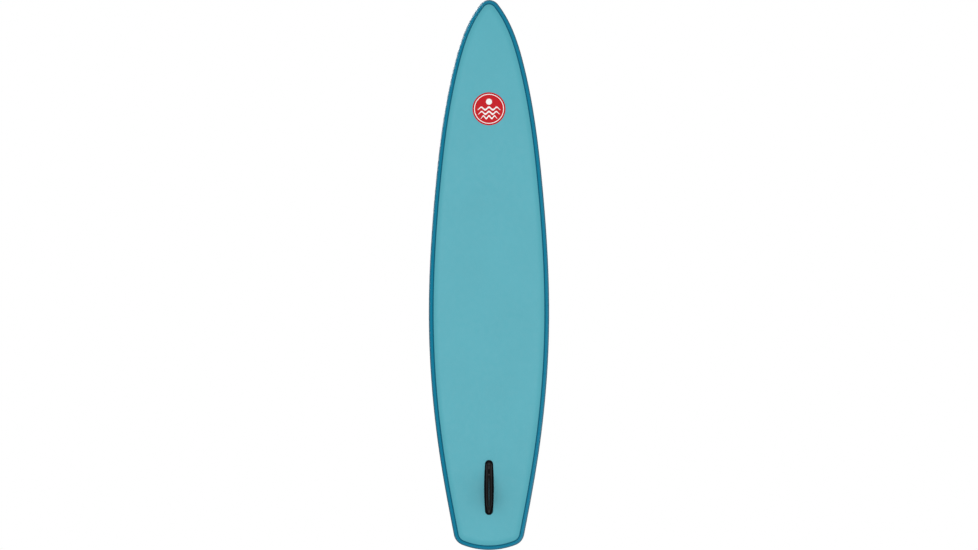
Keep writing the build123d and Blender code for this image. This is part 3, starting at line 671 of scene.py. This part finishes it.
stainless = metal("polished_stainless", tone(205, 207, 210), 0.14, 0.3)
blackened = metal("blackened_steel", tone(52, 52, 56), 0.35, 0.5)
brass = metal("turned_brass", tone(196, 160, 92), 0.25, 0.4)
base_black = moulded("fin_box_base_black", tone(2, 3, 6), 0.45, 0.6, specular=0.05)
fin_nylon = moulded("fin_nylon", tone(32, 32, 36), 0.5, 0.64, 500.0, 0.25, 0.1)
valve_grey = moulded("valve_grey", tone(70, 76, 82))
cap_grey = moulded("valve_cap_grey", tone(92, 99, 106))
rubber = moulded("seal_rubber", tone(24, 24, 26), 0.7, 0.85)

CARGO_RINGS = [name for name in NODES if name.endswith(("_left", "_right")) and "ring" in name]
CAD_FINISHES = [
    (base_black, "box_base", ["fin_box_base"]),
    (box_finish(), "box_plastic", ["fin_box"]),
    (fin_nylon, "fin_plastic", ["fin_blade"]),
    (valve_grey, "valve_plastic", ["valve_body", "valve_clamp_nut", "valve_plunger"]),
    (cap_grey, "valve_plastic", ["valve_cap"]),
    (rubber, "seal_rubber", ["valve_gasket", "valve_plunger_seal", "valve_cap_seal"]),
    (stainless, "stainless", ["leash_ring", *CARGO_RINGS]),
    (blackened, "stainless", ["fin_nut_plate", "fin_screw"]),
    (brass, "brass", ["fin_pin"]),
    (thread, "thread", ["drop_stitch_threads"]),
]


def paint_cad():
    """Give the CAD parts that are kept their finishes."""
    for finish, slot, names in CAD_FINISHES:
        for name in names:
            NODES[name].data.materials.clear()
            NODES[name].data.materials.append(finish)


# ---- board skin ----
def panel(name, side, node, finish):
    """Hull or deck panel, from the seam round the start of the rail and across."""
    rim = np.linspace(RAIL_INSET - 3, RAIL, 14)
    left = [skin_points(OUTLINE, OUTWARD, inset, 0, side) for inset in rim]
    across = [left[-1] * [1, share, 1] for share in np.linspace(1, -1, 17)[1:-1]]
    right = [row * [1, -1, 1] for row in left[::-1]]
    points = np.stack(left + across + right, axis=1)
    faces = grid_faces(*points.shape[:2])
    piece = make_piece(name, points, faces, finish, away_from=(0, 0, RAIL))
    thicken(piece, SKIN, -1)
    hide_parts(node)
    return piece


def rail(name, node, port):
    """One rail band, bent round the board's edge, with faint puckers at its ends."""
    limit = math.acos(1 - RAIL_INSET / RAIL)
    angles = np.linspace(-limit, limit, 37)
    ends = np.clip(1 - np.minimum(ALONG, ALONG[-1] - ALONG) / 420, 0, 1)
    pucker = 0.16 * ends * np.sin(ALONG / 14.0) * np.sin(ALONG / 47.0)
    rows, weave = [], []
    for angle in angles:
        inset = RAIL * (1 - math.cos(angle))
        proud = pucker * math.cos(angle) ** 2
        side = HULL if angle < 0 else DECK
        row = skin_points(OUTLINE, OUTWARD, inset, 0, side)
        row[:, :2] += OUTWARD * proud[:, None]
        rows.append(row * [1, port, 1])
        weave.append(np.column_stack([ALONG, np.full_like(ALONG, RAIL * angle), ALONG * 0]))
    points = np.stack(rows, axis=1)
    weave = np.stack(weave, axis=1)
    faces = grid_faces(*points.shape[:2])
    piece = make_piece(name, points, faces, rail_skin, weave, (0, 0, RAIL))
    thicken(piece, SKIN, -1)
    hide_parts(node)
    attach(piece, "root")


def seam(name, side, node):
    """Seam tape round the board, over the edge of the rail band."""
    plan = np.concatenate([OUTLINE, (OUTLINE * [1, -1])[-2:0:-1]])
    out = np.concatenate([OUTWARD, (OUTWARD * [1, -1])[-2:0:-1]])
    profile = [(25.6, 0.02), (25.8, 0.7), (26.6, 1.25), (30, 1.35), (33.4, 1.25), (34.2, 0.7)]
    profile += [(34.4, 0.02), (34.4, -0.5), (25.6, -0.5)]
    rows = [skin_points(plan, out, inset, proud, side) for inset, proud in profile]
    points = np.stack(rows, axis=1)
    faces = grid_faces(*points.shape[:2], around=True, closed=True)
    piece = make_piece(name, points, faces, tape_skin)
    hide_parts(node)
    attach(piece, "root")


def build_skin():
    """Panels, rails and tapes of the inflated body."""
    hull = panel("hull_skin", HULL, "hull_panel", hull_skin)
    deck = panel("deck_skin", DECK, "deck_panel", deck_skin)
    hole = circle(VALVE_HOLE) + [VALVE_X, 0]
    cut(deck, prism("valve_cut", hole, THICKNESS - 20, THICKNESS + 60))
    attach(hull, "root")
    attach(deck, "root")
    rail("rail_skin_left", "rail_band_left", 1)
    rail("rail_skin_right", "rail_band_right", -1)
    seam("hull_seam", HULL, "hull_seam_tape")
    seam("deck_seam", DECK, "deck_seam_tape")


# ---- deck pads ----
def pad_outline(low, high, inset, corner):
    """Plan of a pad with round corners whose sides follow the rails."""
    track = OUTLINE - OUTWARD * (inset + corner)
    keep = (track[:, 0] > low + corner) & (track[:, 0] < high - corner)
    side = (OUTLINE - OUTWARD * inset)[keep]
    lean = np.degrees(np.arctan2(OUTWARD[keep][:, 1], OUTWARD[keep][:, 0]))
    rear = arc(track[keep][0], corner, 180, lean[0] - 180, 14)[0]
    front = arc(track[keep][-1], corner, lean[-1], -lean[-1], 14)[0]
    port = np.concatenate([rear, side[1:-1:3], front])
    return np.concatenate([port, (port * [1, -1])[::-1]])


def groove_bars(angle, low, high):
    """Long bars with sloping sides, side by side across a pad, to cut its grooves."""
    reach = 1400.0
    floor, top, floor_half = 3.4, 5.6, 1.1
    half = GROOVE_HALF
    section = ((-floor_half, floor), (floor_half, floor), (half, top), (-half, top))
    sides = [(0, 1, 2, 3), (7, 6, 5, 4), (0, 4, 5, 1), (1, 5, 6, 2), (2, 6, 7, 3), (3, 7, 4, 0)]
    count = int(1500 / GROOVE_PITCH)
    turn = math.radians(angle)
    ahead = np.array([math.cos(turn), math.sin(turn), 0])
    beside = np.array([-math.sin(turn), math.cos(turn), 0])
    middle = np.array([(low + high) / 2, 0, 0])
    points, faces = [], []
    for bar in range(-count, count + 1):
        base = middle + beside * bar * GROOVE_PITCH
        first = len(points)
        for end in (-reach, reach):
            for offset, level in section:
                points.append(base + ahead * end + beside * offset + np.array([0, 0, level]))
        faces += [tuple(first + corner for corner in side) for side in sides]
    return points, faces


def drape(piece, spacing):
    """Lay a flat piece on the deck: cut it across at even stations and follow the rocker."""
    shape = bmesh.new()
    shape.from_mesh(piece.data)
    xs = [v.co.x for v in shape.verts]
    station = min(xs) + spacing * MM
    while station < max(xs):
        bmesh.ops.bisect_plane(
            shape,
            geom=shape.verts[:] + shape.edges[:] + shape.faces[:],
            plane_co=(station, 0, 0),
            plane_no=(1, 0, 0),
        )
        station += spacing * MM
    bmesh.ops.triangulate(shape, faces=[f for f in shape.faces if len(f.verts) > 4])
    flat = shape.verts.layers.float_vector.new("weave")
    for vert in shape.verts:
        vert[flat] = vert.co.copy()
        vert.co.z += float(lift(np.array(vert.co.x / MM)) + DECK_SEAT) * MM
    shape.to_mesh(piece.data)
    shape.free()
    smooth_shaded(piece.data, 30)


def build_deck_pad():
    """Two-colour deck pad, with diamond grooves inside its border and round its well."""
    low, high = (corner.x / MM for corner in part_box("deck_pad"))
    edge = PAD_BORDER
    outline = pad_outline(low, high, PAD_INSET, PAD_CORNER)
    pad = prism("deck_pad_foam", outline, 0.0, PAD_THICK)
    well = rounded_rectangle(WELL_LENGTH, WELL_WIDTH, WELL_CORNER) + [CARRY_X, 0]
    cut(pad, prism("well", well, -5, 10))
    border = pad_outline(low + edge, high - edge, PAD_INSET + edge, PAD_CORNER - 14)
    rim = rounded_rectangle(WELL_LENGTH + 2 * edge, WELL_WIDTH + 2 * edge, WELL_CORNER + 14)
    for angle in (GROOVE_ANGLE, -GROOVE_ANGLE):
        points, faces = groove_bars(angle, low, high)
        bars = make_piece("bars", points, faces, deck_foam)
        cut(bars, prism("field", border, 2, 8), "INTERSECT")
        cut(bars, prism("rim", rim + [CARRY_X, 0], 0, 12))
        cut(pad, bars)
    drape(pad, 40.0)
    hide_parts("deck_pad")
    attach(pad, "root")


def kick_height(x):
    """Height of the kick pad: a steep back, a crest, and a ribbed slope to the front."""
    if x < KICK_CREST:
        return KICK_HEIGHT * math.sin(math.pi / 2 * min(1.0, (x + KICK_LENGTH / 2 + 12) / 31.2))
    share = (x - KICK_CREST) / (KICK_LENGTH / 2 - KICK_CREST)
    rib = 0.9 * max(0.0, math.sin(x / 1.9)) ** 2
    return KICK_HEIGHT - KICK_FALL * share**1.35 - rib


def build_kick_pad():
    """Moulded kick pad on the rear end of the deck pad, its two ends rounded over."""
    along = np.linspace(-KICK_LENGTH / 2, KICK_LENGTH / 2, 61)
    rise = np.array([kick_height(x) for x in along])
    rounding, draw_in, drop, foot = 20.0, 0.07, 0.8, 1.0
    near = np.array([0, 1.5, 4, 8, 13, rounding])
    between = np.linspace(32, KICK_WIDTH - 32, 12)
    rows = []
    for place in np.concatenate([near, between, KICK_WIDTH - near[::-1]]):
        edge = min(place, KICK_WIDTH - place, rounding) / rounding
        full = math.sqrt(1 - (1 - edge) ** 2)
        x = along * (1 - draw_in + draw_in * full)
        top = foot + (rise - foot) * (1 - drop + drop * full)
        across = np.full_like(x, place - KICK_WIDTH / 2)
        over = np.column_stack([x, across, top])
        under = np.column_stack([x, across, 0 * x])[::-1]
        rows.append(np.concatenate([over, under]))
    faces = tube_faces(len(rows), len(rows[0]))
    flat = np.concatenate(rows) + [KICK_X, 0, 0]
    flat[:, 2] += lift(flat[:, 0]) + DECK_SEAT + PAD_THICK + 0.1
    kick = make_piece("kick_pad_foam", flat, faces, kick_foam, smooth=45)
    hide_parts("kick_pad")
    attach(kick, "root")


# ---- handles ----
def arch_radius(reach, rise):
    """Radius of the arc that a handle's webbing makes between its pivots."""
    sag = rise - PIVOT_HEIGHT
    return (reach**2 + sag**2) / (2 * sag)


def strap_path(reach, rise):
    """Centreline of half a handle: flat on its patch, up through the pivot, to the middle."""
    flat = STRAP_FLAT
    radius = arch_radius(reach, rise)
    sweep = math.asin(reach / radius)
    turns = np.linspace(sweep, 0, 26)
    arch = np.column_stack(
        [radius * np.sin(turns), turns * 0, rise - radius + radius * np.cos(turns)]
    )
    lead = [(reach + past, flat) for past in (46, 40, 30)] + [(reach + 20, flat + 0.3)]
    start = np.array([-1.0, 0.0])
    end = np.array([-math.cos(sweep), math.sin(sweep)])
    through = [lead[-1], (reach + 9, flat + 3.6), (reach, PIVOT_HEIGHT)]
    rising = fair_curve(through, start, end, 14)
    planar = np.concatenate([fair_curve(lead, start, start, 10), rising[1:]])
    low = np.column_stack([planar[:, 0], planar[:, 0] * 0, planar[:, 1]])
    return np.concatenate([low, arch[1:]])


def build_handle(name, x, reach, rise, grip):
    """A webbing handle: patches, two half straps that bend at their ends, stitches, a grip."""
    width = 36.0 if grip else 30.0
    for end, tag in ((1, "front"), (-1, "rear")):
        centre = placed([[end * (reach + 23), 0, 0]], x)[0][:2]
        plan = rounded_rectangle(80, 74, 22) + centre
        patch = bonded_patch(f"{name}_patch_{tag}", plan, centre, 3.0, patch_skin)
        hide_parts(f"{name}_patches")
        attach(patch, "root")
        local, faces, weave = ribbon(strap_path(reach, rise), width, STRAP_THICK, 0.25)
        points = placed(local * [end, 1, 1], x)
        strap = make_piece(f"{name}_strap_{tag}", points, faces, webbing, weave)
        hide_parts(f"{name}_tabs", f"{name}_webbing")
        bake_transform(strap)
        seam_height = STRAP_FLAT + STRAP_THICK / 2 + 0.15
        lines = box_stitch(reach + 22, reach + 43, width / 2 - 3, seam_height)
        seams = sewn(f"{name}_stitches_{tag}", lines, x, end=end)
        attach(seams, "root")
    if grip:
        build_grip(name, x, rise, arch_radius(reach, rise), grip)
    else:
        build_keeper(name, x, rise, width)


def oval(half_width, half_height, columns, wide, tall):
    """Points round a rounded box section, its two powers nearer 0 for squarer corners."""
    ring = []
    for angle in np.arange(columns) * 2 * math.pi / columns:
        ahead, up = math.cos(angle), math.sin(angle)
        side = math.copysign(abs(ahead) ** wide, ahead) * half_width
        ring.append((angle, side, math.copysign(abs(up) ** tall, up) * half_height))
    return ring


def build_grip(name, x, rise, radius, length):
    """Padded sleeve round the middle of the carry handle, stitched across at both ends."""
    half = length / 2
    section = oval(19.0, 9.8, 40, 0.8, 0.9)
    lip = np.array([0, 0.6, 2, 5])
    between = np.linspace(9 - half, half - 9, 45)
    along = np.concatenate([lip - half, between, (half - lip)[::-1]])
    points = []
    for place in along:
        turn = place / radius
        near_end = min(1.0, (half - abs(place)) / 7)
        crown = 0.05 * math.cos(math.pi * place / half)
        wrinkle = 0.018 * math.sin(place / 2.6) * (abs(place) / half) ** 3
        full = (0.78 + 0.22 * math.sqrt(1 - (1 - near_end) ** 2)) * (1 + crown - wrinkle)
        middle = np.array([radius * math.sin(turn), 0, rise - radius + radius * math.cos(turn)])
        up = np.array([math.sin(turn), 0, math.cos(turn)])
        for angle, side, tall in section:
            crease = 0.8 * max(0.0, 1 - abs(angle - 1.5 * math.pi) / 0.16)
            points.append(middle + np.array([0, side * full, 0]) + up * (tall * full + crease))
    faces = tube_faces(len(along), len(section))
    sleeve = make_piece(f"{name}_padding", placed(points, x), faces, grip_foam)
    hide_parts(f"{name}_grip")
    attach(sleeve, name)
    lines = []
    for place in (8 - half, half - 8):
        turn = place / radius
        level = rise - radius + radius * math.cos(turn) + 9.4
        ahead = radius * math.sin(turn)
        lines.append(((ahead, -11.0, level), (ahead, 11.0, level)))
    seams = sewn(f"{name}_padding_stitches", lines, x)
    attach(seams, name)


def build_keeper(name, x, rise, width):
    """Folded webbing keeper sewn round the middle of a plain handle."""
    stations = [-16, -15.4, -14, -8, 0, 8, 14, 15.4, 16]
    half_height, spare = 3.9, 2.2
    section = oval(width / 2 + spare, half_height, 32, 0.35, 0.6)
    points, weave = [], []
    for place in stations:
        swell = 0.7 if abs(place) > 15.8 else 0.95 if abs(place) > 15 else 1.0
        level = rise - 0.0015 * place * place
        for _, side, tall in section:
            points.append((place, side * swell, level + tall * swell))
            weave.append((side * swell, place, 0))
    faces = tube_faces(len(stations), len(section))
    keeper = make_piece(f"{name}_keeper", placed(points, x), faces, webbing, weave)
    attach(keeper, name)
    top, edge = rise + half_height, width / 2 - 3
    lines = [((place, -edge, top), (place, edge, top)) for place in (-11, 11)]
    seams = sewn(f"{name}_keeper_stitches", lines, x)
    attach(seams, name)


# ---- D rings ----
def loop_path():
    """Centreline and thickness of a webbing loop folded round a ring's bar, in XZ order."""
    bar, fold, lowest = 5.3, 3.55, 2.4
    wrap = np.radians(np.linspace(-90, 90, 17))
    path = [(-24, 0, 2.7), (-16, 0, 2.7), (-9, 0, 2.65), (-4, 0, 2.5)]
    path += [(fold * math.cos(t), 0, max(lowest, bar + fold * math.sin(t))) for t in wrap]
    path += [(-4, 0, 8.1), (-8, 0, 6.4), (-12, 0, 4.6), (-16, 0, 4.2), (-24, 0, 4.2)]
    thick = [1.2, 1.2, 1.0, 0.7] + [0.7 + 0.7 * min(1, i / 8) for i in range(17)] + [1.4] * 5
    return np.array(path, float), np.array(thick)


def build_ring_fittings():
    """Round patch, folded webbing loop and stitches under each D ring."""
    spots = []
    cargo_nodes = ("cargo_ring_patches", "cargo_ring_loops")
    for index, (x, y) in enumerate(RING_PLACES):
        spots.append((f"cargo_{index}_left", x, y, 90, *cargo_nodes))
        spots.append((f"cargo_{index}_right", x, -y, 270, *cargo_nodes))
    spots.append(("leash", LEASH_X, 0.0, 180, "leash_ring_patch", "leash_ring_loop"))
    path, thick = loop_path()
    for tag, x, y, heading, patch_node, loop_node in spots:
        plan = circle(RING_PATCH_RADIUS) + [x, y]
        patch = bonded_patch(f"{tag}_patch", plan, (x, y), 2.0, patch_skin)
        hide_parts(patch_node)
        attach(patch, "root")
        local, faces, weave = ribbon(path, LOOP_WIDTH, thick)
        points = placed(local, x, y, heading)
        loop = make_piece(f"{tag}_loop", points, faces, webbing, weave)
        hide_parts(loop_node)
        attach(loop, "root")
        lines = box_stitch(-22, -14.5, 7.8, 5.05)
        seams = sewn(f"{tag}_stitches", lines, x, y, heading)
        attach(seams, "root")


# ---- badge, valve patch ----
def wave_band(offset, reach):
    """Plan outline of one tapering wave across the badge."""
    waves, thick, height = 3, 13, 9
    side = np.linspace(-reach, reach, 61)
    taper = np.sqrt(np.clip(1 - (side / reach) ** 2, 0.0, 1)) * thick / 2
    crest = offset + height * np.cos(side / reach * math.pi * waves)
    upper = np.column_stack([crest + taper, side])
    lower = np.column_stack([crest - taper, side])[::-1]
    return np.concatenate([upper, lower[1:-1]])


def printed_shape(name, plan, inner=None):
    """A thin white printed shape on the badge; inner is the inside edge of a ring."""
    plan = plan + [EMBLEM_X, 0]
    count = len(plan)
    if inner is None:
        faces = [(0, 1, count - 1)]
        for i in range(1, count // 2):
            faces.append((i, i + 1, count - i - 1, count - i))
        faces[-1] = tuple(dict.fromkeys(faces[-1]))
        spots = plan
    else:
        spots = np.concatenate([plan, inner + [EMBLEM_X, 0]])
        faces = grid_faces(2, count, around=True)
    level = skin_height(spots[:, 0], spots[:, 1], HULL) - EMBLEM_THICK
    points = np.column_stack([spots, level])
    middle = (EMBLEM_X, 0, RAIL)
    piece = make_piece(name, points, faces, emblem_white, away_from=middle)
    thicken(piece, PRINT_THICK, 1)
    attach(piece, "root")


def build_badge():
    """Round red badge under the nose: a ring, three waves and a low sun."""
    plan = circle(EMBLEM_RADIUS, 96) + [EMBLEM_X, 0]
    badge = bonded_patch(
        "hull_badge", plan, (EMBLEM_X, 0), EMBLEM_THICK, emblem_red, HULL, line=2.6
    )
    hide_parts("hull_emblem")
    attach(badge, "root")
    printed_shape("badge_ring", circle(103, 96), circle(98, 96))
    for index, (offset, reach) in enumerate(((2, 80), (-28, 76), (-58, 58))):
        printed_shape(f"badge_wave_{index}", wave_band(offset, reach))
    printed_shape("badge_sun", circle(21, 48) + [49, 0])


def build_valve_patch():
    """Wide ring patch round the inflation valve."""
    plan = circle(VALVE_PATCH_RADIUS) + [VALVE_X, 0]
    patch = bonded_patch(
        "valve_patch_ring", plan, (VALVE_X, 0), 1.6, patch_skin, hole=VALVE_PATCH_HOLE
    )
    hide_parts("valve_patch")
    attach(patch, "root")


def build_valve_spring():
    """Round wire spring with closed ends."""
    low, high = (np.array(corner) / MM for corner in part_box("valve_spring"))
    wire, turns, closed, keep = 0.6, 5, 0.9, 0.625
    radius = (high[0] - low[0]) / 2 - wire
    bottom, top = low[2] + wire, high[2] - wire
    lap = np.linspace(0, turns, 241)
    flat = 2.2 * wire
    laps = [0, closed, turns - closed, turns]
    level = np.interp(lap, laps, [bottom, bottom + flat, top - flat, top])
    turn = 2 * math.pi * lap
    outward = np.column_stack([np.cos(turn), np.sin(turn), 0 * turn])
    centre = outward * radius + (low + high) / 2
    centre[:, 2] = level
    upward = np.cross(outward, headings(centre))
    rings = [
        centre + wire * (math.cos(angle) * outward + math.sin(angle) * upward)
        for angle in np.linspace(0, 2 * math.pi, 11)[:-1]
    ]
    points = np.stack(rings, axis=1)
    faces = tube_faces(*points.shape[:2])
    spring = make_piece("valve_coil_spring", points, faces, stainless, smooth=70)
    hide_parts("valve_spring")
    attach(spring, "root")
    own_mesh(spring)


# ---- stage ----
def soft_light(name, towards, strength, spread):
    """A soft, even light that shines the given way."""
    data = bpy.data.lights.new(name, "SUN")
    data.energy = strength
    data.angle = math.radians(spread)
    light = add_object(name, data)
    light.rotation_euler = Vector(towards).to_track_quat("-Z", "Y").to_euler()


def build_floor():
    """Pale floor just under the fin, clear from below so that the hull can be seen."""
    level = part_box("fin_blade")[0].z - 0.001
    mesh = bpy.data.meshes.new("floor")
    reach = 120.0
    corners = [(-1, -1), (1, -1), (1, 1), (-1, 1)]
    points = [(x * reach, y * reach, level) for x, y in corners]
    mesh.from_pydata(points, [], [(0, 1, 2, 3)])
    floor = add_object("floor", mesh)
    paint = Finish("pale_floor", tone(238, 239, 240), specular=0.2)
    paint.stain(paint.spread(paint.noise(40.0, 2.0), 0.3, 0.7), tone(235, 236, 238))
    paint.gloss(0.7, 0.9, 5.0).done()
    tree = paint.tree
    behind = add_node(tree, "NewGeometry").outputs["Backfacing"]
    clear = add_node(tree, "BsdfTransparent").outputs[0]
    choose = add_node(tree, "MixShader")
    for socket, value in zip(choose.inputs, (behind, paint.shader.outputs[0], clear)):
        tree.links.new(value, socket)
    tree.links.new(choose.outputs[0], tree.nodes["Material Output"].inputs["Surface"])
    mesh.materials.append(paint.material)
    floor.visible_shadow = False
    floor.visible_diffuse = False
    floor.visible_glossy = False


def build_world():
    """White surroundings, the floor's tone at the horizon, and a little softer as light."""
    world = bpy.data.worlds.new("studio")
    world.use_nodes = True
    bpy.context.scene.world = world
    tree = world.node_tree
    direction = add_node(tree, "TexCoord").outputs["Generated"]
    upward = add_node(tree, "SeparateXYZ", Vector=direction).outputs[2]
    sky = add_node(tree, "MapRange", Value=upward, From_Max=0.35, To_Min=HORIZON)
    sky.interpolation_type = "SMOOTHSTEP"
    seen = add_node(tree, "LightPath").outputs["Is Camera Ray"]
    strengths = {"To_Min": WORLD_LIGHT, "To_Max": sky.outputs[0]}
    level = add_node(tree, "MapRange", Value=seen, **strengths)
    back = tree.nodes["Background"]
    back.inputs["Color"].default_value = (1, 1, 1, 1)
    tree.links.new(level.outputs[0], back.inputs["Strength"])


def build_camera():
    """Long lens camera straight below the board, nose at the top of the picture."""
    lens = bpy.data.cameras.new("camera")
    lens.lens = 200.0
    camera = add_object("camera", lens)
    width = LENGTH * MM * 978 / 550
    nearer, astern = 0.19, 0.004
    distance = width * lens.lens / lens.sensor_width - nearer
    camera.matrix_world = Matrix(
        ((0, 1, 0, -astern), (1, 0, 0, 0), (0, 0, -1, -distance), (0, 0, 0, 1))
    )
    lens.clip_end = 3 * distance
    bpy.context.scene.camera = camera


def build_stage():
    """Floor, light and camera."""
    build_floor()
    build_world()
    soft_light("under_key", (-0.07, 0.12, 1.0), 1.41, 50)
    soft_light("under_fill", (0.1, -0.35, 1.0), 0.5, 60)
    soft_light("top_key", (-0.35, 0.4, -1.0), 1.7, 30)
    soft_light("top_fill", (0.5, -0.8, -0.7), 0.5, 60)
    build_camera()
    bpy.context.scene.view_settings.view_transform = "Standard"


paint_cad()
build_skin()
build_deck_pad()
build_kick_pad()
for handle in HANDLES:
    build_handle(*handle)
build_ring_fittings()
build_badge()
build_valve_patch()
build_valve_spring()
build_stage()
